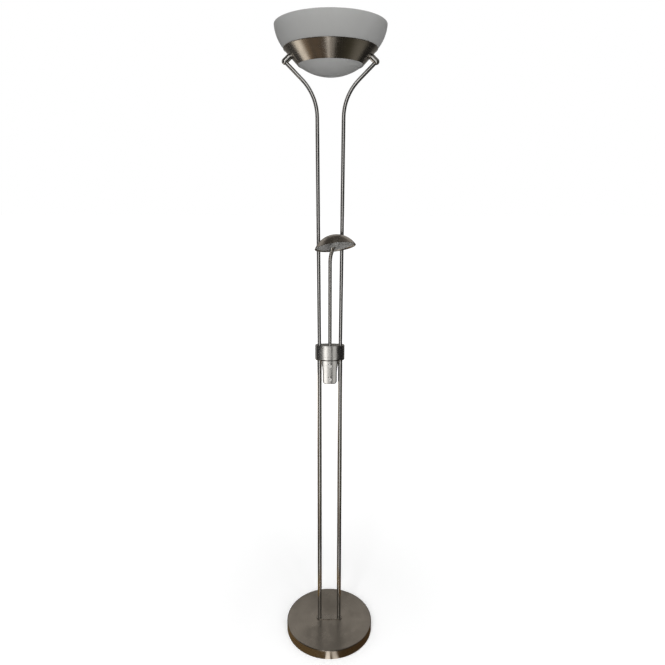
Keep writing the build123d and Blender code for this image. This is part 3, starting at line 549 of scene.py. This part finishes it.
settled_dust, ends_in, ends_out = new_group(
    "settled_dust", [("Place", "NodeSocketVector", None), ("Amount", "NodeSocketFloat", 0.1)], "Mask"
)
true_normal = put(settled_dust, "ShaderNodeNewGeometry").outputs["Normal"]
upward = put(settled_dust, "ShaderNodeSeparateXYZ", {0: true_normal}).outputs["Z"]
specks = put(settled_dust, "ShaderNodeTexNoise", {"Vector": ends_in.outputs["Place"], "Scale": 90.0, "Detail": 6.0})
patchy = between(settled_dust, specks.outputs[0], 0.35, 0.75, 0.25, 1.0)
both = calculate(settled_dust, "MULTIPLY", fade(settled_dust, upward, 0.4, 1.0), patchy)
some = calculate(settled_dust, "MULTIPLY", both, ends_in.outputs["Amount"])
settled_dust.links.new(some, ends_out.inputs[0])
print("groups:", [g.name for g in bpy.data.node_groups])

# %% [markdown]
# ## The metals
#
# Bare metal has no colour of its own but a tint on what it mirrors. Its character is in the roughness:
# fine lines scatter the light across them, smudges dull it, and edges shine. One function builds every
# metal of the lamp, and each gets its own tint, roughness, kind of lines and amount of dust.

# %% A function for every metal
DUST_COLOUR = (0.30, 0.28, 0.25)
EDGE_RADIUS = 0.0004
SCRATCHED = 0.86
POLISHED = 1.25
QUARTER_TURN = 0.25


def start_finish(name, turn=None):
    """A material with its shader, and the place on the object that its patterns read."""
    finish = bpy.data.materials.new(name)
    finish.use_nodes = True
    tree = finish.node_tree
    place = put(tree, "ShaderNodeTexCoord").outputs["Object"]
    if turn:
        centre, angles = turn
        place = put(
            tree, "ShaderNodeMapping", {"Vector": place, "Location": centre, "Rotation": angles},
            vector_type="TEXTURE",
        ).outputs[0]
    return finish, tree, tree.nodes["Principled BSDF"], place


def raise_surface(tree, shader, height, distance, strength, softened=True):
    """A fine relief, on edges that catch the light as if they were slightly rounded."""
    inputs = {"Height": height, "Distance": distance, "Strength": strength}
    if softened:
        inputs["Normal"] = put(tree, "ShaderNodeBevel", {"Radius": EDGE_RADIUS}, samples=4).outputs[0]
    tree.links.new(put(tree, "ShaderNodeBump", inputs).outputs[0], shader.inputs["Normal"])


def metal(name, tint, roughness, spread=0.05, lines=None, fineness=500.0, line_depth=0.00003,
          smudge_size=25.0, dust=0.06, across=0.0, turn=None):
    """A metal finish. across stretches its highlights across turned lines."""
    finish, tree, shader, place = start_finish(name, turn)
    shader.inputs["Metallic"].default_value = 1.0
    if lines:
        line = use_group(tree, lines, Place=place, Fineness=fineness)
    else:
        line = put(tree, "ShaderNodeTexNoise", {"Vector": place, "Scale": fineness, "Detail": 3.0}).outputs[0]
    smudge = use_group(tree, smudges, Place=place, Size=smudge_size)
    edge = use_group(tree, worn_edges, Gain=5.0)
    dusty = use_group(tree, settled_dust, Place=place, Amount=dust)
    dark = tuple(SCRATCHED * c for c in tint)
    light = tuple(min(1.0, POLISHED * c) for c in tint)
    colour = blend_colours(tree, line, dark, tint)
    colour = blend_colours(tree, between(tree, smudge, 0.0, 1.0, 0.0, 0.25), colour, dark)
    colour = blend_colours(tree, edge, colour, light)
    colour = blend_colours(tree, dusty, colour, DUST_COLOUR)
    tree.links.new(colour, shader.inputs["Base Color"])
    rough = between(tree, line, 0.0, 1.0, roughness - spread, roughness + spread)
    duller = calculate(tree, "MULTIPLY_ADD", smudge, 0.08, rough)
    dusted = calculate(tree, "MULTIPLY_ADD", dusty, 0.5, duller, use_clamp=True)
    tree.links.new(dusted, shader.inputs["Roughness"])
    raise_surface(tree, shader, line, line_depth, 0.6)
    if across:
        shader.inputs["Anisotropic"].default_value = across
        shader.inputs["Anisotropic Rotation"].default_value = QUARTER_TURN
        round_axis = put(tree, "ShaderNodeTangent", direction_type="RADIAL", axis="Z")
        tree.links.new(round_axis.outputs[0], shader.inputs["Tangent"])
    return finish


# %% [markdown]
# The reading head is tilted, and its lines run round its own axis. So its finish reads a turned place,
# from the centre and the directions that the head has in the CAD.

# %% The metals
HEAD_CENTRE = Vector((0.01384, -0.06240, 1.22668))
HEAD_FORWARD = Vector((0.229763, -0.915338, 0.330704))
HEAD_UP = Vector((-0.125783, 0.309017, 0.942702))
head_turn = Matrix((HEAD_FORWARD, HEAD_UP.cross(HEAD_FORWARD), HEAD_UP)).transposed()
head_angles = head_turn.to_euler()

NICKEL = (0.46, 0.42, 0.37)
CHROME = (0.62, 0.61, 0.59)
KNOB_CHROME = (0.86, 0.85, 0.83)
HOSE_CHROME = (0.76, 0.75, 0.73)
turned_nickel = metal("turned_nickel", NICKEL, 0.27, spread=0.03, lines=turned_lines, across=0.6, dust=0.08)
ring_nickel = metal("ring_nickel", NICKEL, 0.22, spread=0.03, lines=turned_lines, across=0.7, dust=0.0)
drawn_nickel = metal(
    "drawn_nickel", (0.68, 0.67, 0.655), 0.10, spread=0.02, lines=drawn_lines, fineness=700.0, line_depth=0.000002,
    dust=0.0,
)
head_nickel = metal(
    "head_nickel", NICKEL, 0.24, spread=0.03, lines=turned_lines, turn=(HEAD_CENTRE, head_angles), dust=0.04
)
foot_nickel = metal("foot_nickel", (0.40, 0.37, 0.33), 0.24, spread=0.03, lines=drawn_lines, line_depth=0.000005)
satin_chrome = metal("satin_chrome", CHROME, 0.12, spread=0.02, fineness=1500.0, line_depth=0.000002, dust=0.0)
knob_chrome = metal("knob_chrome", KNOB_CHROME, 0.06, spread=0.02, fineness=1500.0, line_depth=0.000001, dust=0.0)
hose_chrome = metal("hose_chrome", HOSE_CHROME, 0.10, spread=0.03, fineness=900.0, line_depth=0.000003, dust=0.0)
zinc_steel = metal("zinc_steel", (0.50, 0.51, 0.50), 0.38, spread=0.08, fineness=400.0, smudge_size=180.0)
rolled_aluminium = metal(
    "rolled_aluminium", (0.78, 0.78, 0.77), 0.18, spread=0.05, lines=drawn_lines, fineness=700.0
)
print("metals:", [m.name for m in bpy.data.materials if "nickel" in m.name or "chrome" in m.name])

# %% [markdown]
# ## Glass, plastics and the rest
#
# The bowl is pressed opal glass with a sandblasted skin: milky inside, matte outside, with a fine grain
# and faint clouds. It is switched off and looks solid grey, so no light goes through it here. The small
# lamps are clear quartz with a frosted skin.

# %% Glass


def opal_glass():
    """Milky glass with faint clouds, a fine grain and a little dust."""
    finish, tree, shader, place = start_finish("opal_glass")
    clouds = put(tree, "ShaderNodeTexNoise", {"Vector": place, "Scale": 9.0, "Detail": 4.0, "Distortion": 0.8})
    grain = put(tree, "ShaderNodeTexNoise", {"Vector": place, "Scale": 1800.0, "Detail": 2.0})
    cloud = between(tree, clouds.outputs[0], 0.35, 0.65, 0.0, 1.0)
    colour = blend_colours(tree, cloud, (0.335, 0.335, 0.325), (0.36, 0.36, 0.355))
    dusty = use_group(tree, settled_dust, Place=place, Amount=0.1)
    colour = blend_colours(tree, dusty, colour, DUST_COLOUR)
    tree.links.new(colour, shader.inputs["Base Color"])
    tree.links.new(noise_range(tree, grain.outputs[0], 0.55, 0.68), shader.inputs["Roughness"])
    shader.inputs["Transmission Weight"].default_value = 0.0
    shader.inputs["Specular IOR Level"].default_value = 0.3
    raise_surface(tree, shader, grain.outputs[0], 0.00004, 0.5, softened=False)
    return finish


def frosted_quartz():
    """Clear glass with a fine frost."""
    finish, tree, shader, place = start_finish("frosted_quartz")
    grain = put(tree, "ShaderNodeTexNoise", {"Vector": place, "Scale": 900.0, "Detail": 3.0})
    colour = blend_colours(tree, grain.outputs[0], (0.86, 0.87, 0.88), (0.95, 0.95, 0.95))
    tree.links.new(colour, shader.inputs["Base Color"])
    tree.links.new(noise_range(tree, grain.outputs[0], 0.25, 0.4), shader.inputs["Roughness"])
    shader.inputs["Transmission Weight"].default_value = 0.6
    raise_surface(tree, shader, grain.outputs[0], 0.00003, 0.5, softened=False)
    return finish


bowl_finish = opal_glass()
lamp_finish = frosted_quartz()
print("glass:", bowl_finish.name, lamp_finish.name)

# %% [markdown]
# The hidden pieces get finishes of their own too, because the part may be opened up. Iron, ceramic,
# rubber, plastic and paint differ in colour, grain and gloss, so one function builds them all. The
# printed board has a pattern of tracks under green lacquer.

# %% Cast, moulded and printed finishes


def dull(name, colour, second, roughness, spread, grain_scale, grain_depth, patch_scale=30.0):
    """A matte finish with two colours in soft patches, and a grain in its roughness and its height."""
    finish, tree, shader, place = start_finish(name)
    grain = put(tree, "ShaderNodeTexNoise", {"Vector": place, "Scale": grain_scale, "Detail": 5.0})
    patch = use_group(tree, smudges, Place=place, Size=patch_scale)
    edge = use_group(tree, worn_edges, Gain=4.0)
    mixed = blend_colours(tree, patch, colour, second)
    paler = tuple(min(1.0, 1.6 * c + 0.02) for c in colour)
    worn = blend_colours(tree, between(tree, edge, 0.0, 1.0, 0.0, 0.5), mixed, paler)
    tree.links.new(worn, shader.inputs["Base Color"])
    rough = noise_range(tree, grain.outputs[0], roughness - spread, roughness + spread)
    tree.links.new(rough, shader.inputs["Roughness"])
    raise_surface(tree, shader, grain.outputs[0], grain_depth, 0.8)
    return finish


cast_iron = dull("cast_iron", (0.035, 0.035, 0.036), (0.06, 0.05, 0.045), 0.7, 0.1, 320.0, 0.0004)
cast_iron.node_tree.nodes["Principled BSDF"].inputs["Metallic"].default_value = 0.6
steatite = dull("steatite_ceramic", (0.80, 0.78, 0.73), (0.72, 0.70, 0.64), 0.35, 0.08, 700.0, 0.00005)
foam_rubber = dull("foam_rubber", (0.02, 0.02, 0.02), (0.035, 0.034, 0.033), 0.9, 0.06, 1400.0, 0.0003)
moulded_plastic = dull("moulded_plastic", (0.018, 0.018, 0.019), (0.03, 0.03, 0.03), 0.45, 0.06, 1600.0, 0.00006)
painted_dish = dull("painted_dish", (0.34, 0.335, 0.32), (0.30, 0.295, 0.285), 0.5, 0.05, 900.0, 0.00001)
# A darker copy of the white steatite for the reading head's lamp holder: painted shade, standing in for the shade
# under the head.
steatite_painted_shade = dull("steatite_painted_shade", (0.36, 0.355, 0.34), (0.31, 0.305, 0.295), 0.55, 0.05, 700.0, 0.00003)
silicone = dull("silicone", (0.62, 0.61, 0.58), (0.55, 0.54, 0.50), 0.5, 0.05, 500.0, 0.00003)


def circuit_board():
    """Green lacquer over copper: broad tracks show through as a lighter, raised pattern."""
    finish, tree, shader, place = start_finish("circuit_board")
    cells = put(
        tree, "ShaderNodeTexVoronoi", {"Vector": place, "Scale": 260.0},
        feature="DISTANCE_TO_EDGE", distance="CHEBYCHEV",
    )
    track = fade(tree, cells.outputs["Distance"], 0.06, 0.09)
    colour = blend_colours(tree, track, (0.05, 0.16, 0.05), (0.012, 0.07, 0.02))
    tree.links.new(colour, shader.inputs["Base Color"])
    tree.links.new(between(tree, track, 0.0, 1.0, 0.3, 0.42), shader.inputs["Roughness"])
    raise_surface(tree, shader, track, 0.00005, 0.6, softened=False)
    return finish


printed_board = circuit_board()
print("materials so far:", len(bpy.data.materials))

# %% [markdown]
# ## Finishes on the CAD nodes
#
# Each CAD node has one material slot, named after its finish. The nickel pieces are told apart by how
# they were brushed: round their axis on the lathe, or along their length.

# %% Finish for each node
BY_SLOT = {
    "brushed_nickel": drawn_nickel,
    "satin_chrome": satin_chrome,
    "flexible_arm": hose_chrome,
    "frosted_glass": bowl_finish,
    "lamp_glass": lamp_finish,
    "cast_iron": cast_iron,
    "zinc_steel": zinc_steel,
    "polished_aluminium": rolled_aluminium,
    "ceramic": steatite,
    "black_rubber": foam_rubber,
    "black_plastic": moulded_plastic,
    "circuit_board": printed_board,
    "silicone": silicone,
}
BY_NODE = {
    "base_cover": turned_nickel,
    "foot_plate": foot_nickel,
    "bowl_ring": ring_nickel,
    "head_dome": head_nickel,
    "head_reflector": painted_dish,
    "head_hub": painted_dish,
    # The lamp holder gets the darker copy of the steatite: painted shade under the reading head.
    "head_lamp_holder": steatite_painted_shade,
    "upper_knob": knob_chrome,
    "lower_knob": knob_chrome,
}

for name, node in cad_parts.items():
    for material_slot in node.material_slots:
        material_slot.material = BY_NODE.get(name) or BY_SLOT[material_slot.material.name.split(".")[0]]
print("finished nodes:", len(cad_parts))

# %% [markdown]
# ## The soft rings
#
# Two kinds of soft piece are cut from sheet. A foam ring under the base keeps it from scratching the
# floor, and a silicone washer at each knuckle keeps the glass off the metal. Each is a short ring with
# its edges pressed round, so one helper draws the outline of the cut: a circle is extruded from point
# to point round the section, and its first and last rings are merged.

# %% Rings with rounded edges


def soft_ring(name, bore, radius, height, edge, sides):
    """A flat ring on the z axis, with its lower face at 0."""
    section = (
        (bore + edge, 0.0), (radius - edge, 0.0), (radius, edge), (radius, height - edge), (radius - edge, height),
        (bore + edge, height), (bore, height - edge), (bore, edge), (bore + edge, 0.0),
    )
    bpy.ops.object.select_all(action="DESELECT")
    bpy.ops.mesh.primitive_circle_add(vertices=sides, radius=section[0][0])
    ring = bpy.context.object
    bpy.ops.object.mode_set(mode="EDIT")
    bpy.ops.mesh.select_all(action="SELECT")
    for (wide, low), (next_wide, next_low) in zip(section, section[1:]):
        bpy.ops.mesh.extrude_region_move(TRANSFORM_OT_translate={"value": (0.0, 0.0, next_low - low)})
        scale = next_wide / wide
        bpy.ops.transform.resize(value=(scale, scale, 1.0), center_override=(0.0, 0.0, 0.0))
    bpy.ops.mesh.select_all(action="SELECT")
    bpy.ops.mesh.remove_doubles(threshold=0.00001)
    bpy.ops.mesh.normals_make_consistent(inside=False)
    bpy.ops.object.mode_set(mode="OBJECT")
    return settle(ring, name, smooth_angle=50.0)


PAD_RADIUS = 0.126
PAD_BORE = 0.070
PAD_HEIGHT = 0.002
PAD_EDGE = 0.0005
PAD_SIDES = 128
foam_ring = soft_ring("foam_ring", PAD_BORE, PAD_RADIUS, PAD_HEIGHT, PAD_EDGE, PAD_SIDES)
foam_ring.data.materials.append(foam_rubber)
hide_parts("base_pad")
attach(foam_ring, "stand")
report(foam_ring)

# %% [markdown]
# The washers lie square to the cone that the ring is part of. Each is modelled flat, then turned and
# carried to the middle of the CAD's own washer on that side.

# %% Washers at the knuckles
SEAL_RADIUS = 0.009
SEAL_BORE = 0.00505
SEAL_HEIGHT = 0.0015
SEAL_EDGE = 0.0003
SEAL_SIDES = 48
CONE_OUT = Vector((0.7341, 0.0, -0.6790))
seal_points = [vertex.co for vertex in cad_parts["bowl_seals"].data.vertices]
seal_centre = Vector([
    (min(abs(p[axis]) for p in seal_points) + max(abs(p[axis]) for p in seal_points)) / 2 for axis in range(3)
])
for side, name in ((-1, "bowl_seal_left"), (1, "bowl_seal_right")):
    seal = soft_ring(name, SEAL_BORE, SEAL_RADIUS, SEAL_HEIGHT, SEAL_EDGE, SEAL_SIDES)
    outwards = Vector((side * CONE_OUT.x, 0.0, CONE_OUT.z))
    seal.rotation_euler = outwards.to_track_quat("Z", "Y").to_euler()
    seal.location = Vector((side * seal_centre.x, 0.0, seal_centre.z)) - outwards * SEAL_HEIGHT / 2
    select_only(seal)
    bpy.ops.object.transform_apply(location=True, rotation=True, scale=True)
    seal.data.materials.append(silicone)
    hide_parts("bowl_seals")
    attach(seal, "stand")
    report(seal)

# %% [markdown]
# ## The flexible arm
#
# The arm of such a lamp is a wound metal hose: a strip that is coiled so that it bends and stays. From
# outside it is a row of rounded ribs, 3 mm apart. One rib is drawn as a ring and extruded six times,
# wider and narrower again, and an array repeats it. The arm bends at eight joints, so it is cut into
# eight sleeves that meet half way between the joints.

# %% One rib, repeated into a sleeve
RIB_PITCH = 0.003
ROOT_RADIUS = 0.00485
CREST_RADIUS = 0.0053
ARM_AXIS = (0.0, -0.005)
# How far up the rib, and how wide there as a share of the crest. None stands for the root.
RIB_SECTION = ((0.14, 0.985), (0.32, 1.0), (0.50, 1.0), (0.68, 1.0), (0.86, 0.985), (1.0, None))
RIB_SIDES = 40


def ribbed_sleeve(name, low, ribs):
    """A closed upright hose of so many ribs, with its lower end at a height."""
    bpy.ops.object.select_all(action="DESELECT")
    bpy.ops.mesh.primitive_circle_add(vertices=RIB_SIDES, radius=ROOT_RADIUS, location=(*ARM_AXIS, low))
    sleeve = bpy.context.object
    bpy.ops.object.mode_set(mode="EDIT")
    bpy.ops.mesh.select_all(action="SELECT")
    share_before, radius_before = 0.0, ROOT_RADIUS
    for share, width in RIB_SECTION:
        radius = width * CREST_RADIUS if width else ROOT_RADIUS
        rise = (share - share_before) * RIB_PITCH
        bpy.ops.mesh.extrude_region_move(TRANSFORM_OT_translate={"value": (0.0, 0.0, rise)})
        scale = radius / radius_before
        bpy.ops.transform.resize(value=(scale, scale, 1.0), center_override=(*ARM_AXIS, low))
        share_before, radius_before = share, radius
    bpy.ops.object.mode_set(mode="OBJECT")
    row = sleeve.modifiers.new("row_of_ribs", "ARRAY")
    row.count = ribs
    row.use_relative_offset = False
    row.use_constant_offset = True
    row.constant_offset_displace = (0.0, 0.0, RIB_PITCH)
    row.use_merge_vertices = True
    row.merge_threshold = 0.00001
    select_only(sleeve)
    bpy.ops.object.modifier_apply(modifier="row_of_ribs")
    bpy.ops.object.mode_set(mode="EDIT")
    bpy.ops.mesh.select_all(action="SELECT")
    bpy.ops.mesh.normals_make_consistent(inside=False)
    bpy.ops.mesh.select_all(action="DESELECT")
    bpy.ops.mesh.select_mode(type="EDGE")
    bpy.ops.mesh.select_non_manifold(use_wire=False, use_boundary=True)
    bpy.ops.mesh.fill_holes(sides=RIB_SIDES)
    bpy.ops.object.mode_set(mode="OBJECT")
    return settle(sleeve, name, smooth_angle=60.0)


JOINT_PITCH = 0.030
FIRST_JOINT = 0.960
JOINT_COUNT = 8
SLEEVE_RIBS = round(JOINT_PITCH / RIB_PITCH)
FOOT_RIBS = 3
first_border = FIRST_JOINT - JOINT_PITCH / 2
arm_foot = ribbed_sleeve("arm_foot", first_border - FOOT_RIBS * RIB_PITCH, FOOT_RIBS)
arm_sleeve = ribbed_sleeve("arm_sleeve_1", first_border, SLEEVE_RIBS)
report(arm_foot)
report(arm_sleeve)

# %% [markdown]
# ## The crook
#
# Above the last joint the arm bows forward, 52 degrees on a 40 mm radius, and runs straight into the
# head. The ribs are modelled on a straight hose first. Then each ring of points is turned about the
# bend's centre by its distance past the bend's start, which is how a real hose is bent from straight.

# %% Bend the hose along the crook
LAST_JOINT = FIRST_JOINT + (JOINT_COUNT - 1) * JOINT_PITCH
BEND_START = LAST_JOINT + 0.004
BEND_RADIUS = 0.040
BEND_ANGLE = math.radians(52.0)
BEND_ASIDE = math.radians(13.0)
BEND_HEADING = Vector((math.sin(BEND_ASIDE), -math.cos(BEND_ASIDE), 0.0))
bend_axis = Vector((0.0, 0.0, 1.0)).cross(BEND_HEADING)
bend_centre = Vector((*ARM_AXIS, BEND_START)) + BEND_HEADING * BEND_RADIUS
# Along the crook from the last joint: the ferrule's mouth, and the plain end's seat inside the hub.
CROOK_END = 0.0617
HUB_END = 0.0817
PLAIN_TRIM = 0.0005


def bend_along_crook(piece):
    """Turns each point of a straight hose into its place on the crook."""
    for vertex in piece.data.vertices:
        past = vertex.co.z - BEND_START
        if past <= 0.0:
            continue
        angle = min(past / BEND_RADIUS, BEND_ANGLE)
        beyond = past - angle * BEND_RADIUS
        flat_point = Vector((vertex.co.x, vertex.co.y, BEND_START)) - bend_centre
        turn = Matrix.Rotation(angle, 3, bend_axis)
        vertex.co = bend_centre + turn @ (flat_point + Vector((0.0, 0.0, beyond)))
    return piece


crook_low = LAST_JOINT + JOINT_PITCH / 2
crook_ribs = int((LAST_JOINT + CROOK_END - crook_low) / RIB_PITCH)
crook = bend_along_crook(ribbed_sleeve("arm_crook_hose", crook_low, crook_ribs))
report(crook)

plain_low = crook_low + crook_ribs * RIB_PITCH
bpy.ops.object.select_all(action="DESELECT")
bpy.ops.mesh.primitive_cylinder_add(
    vertices=RIB_SIDES, radius=ROOT_RADIUS, depth=LAST_JOINT + HUB_END - plain_low,
    location=(*ARM_AXIS, (LAST_JOINT + HUB_END + plain_low) / 2),
)
plain_end = settle(bpy.context.object, "arm_plain_end")
bpy.ops.object.mode_set(mode="EDIT")
bpy.ops.mesh.select_all(action="SELECT")
bpy.ops.mesh.bisect(plane_co=(0.0, 0.0, plain_low + PLAIN_TRIM), plane_no=(0.0, 0.0, 1.0))
bpy.ops.object.mode_set(mode="OBJECT")
bend_along_crook(plain_end)
report(plain_end)

# %% Finish the hose pieces, and join the foot and the crook to their bodies
for piece in (crook, plain_end):
    piece.data.materials.append(hose_chrome)
    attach(piece, "reading_head")
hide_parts("arm_crook")

arm_foot.data.materials.append(hose_chrome)
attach(arm_foot, "stand")
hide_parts("arm_base")

sleeves = [arm_sleeve]
for index in range(1, JOINT_COUNT):
    sleeves.append(copy_of(arm_sleeve, f"arm_sleeve_{index + 1}", Vector((0.0, 0.0, index * JOINT_PITCH))))
bend_along_crook(sleeves[-1])
for index, sleeve in enumerate(sleeves):
    sleeve.data.materials.append(hose_chrome)
    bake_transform(sleeve)
    if index < JOINT_COUNT - 1:
        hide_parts(f"arm_link_{index + 1}")
print("sleeves:", [s.name for s in sleeves])
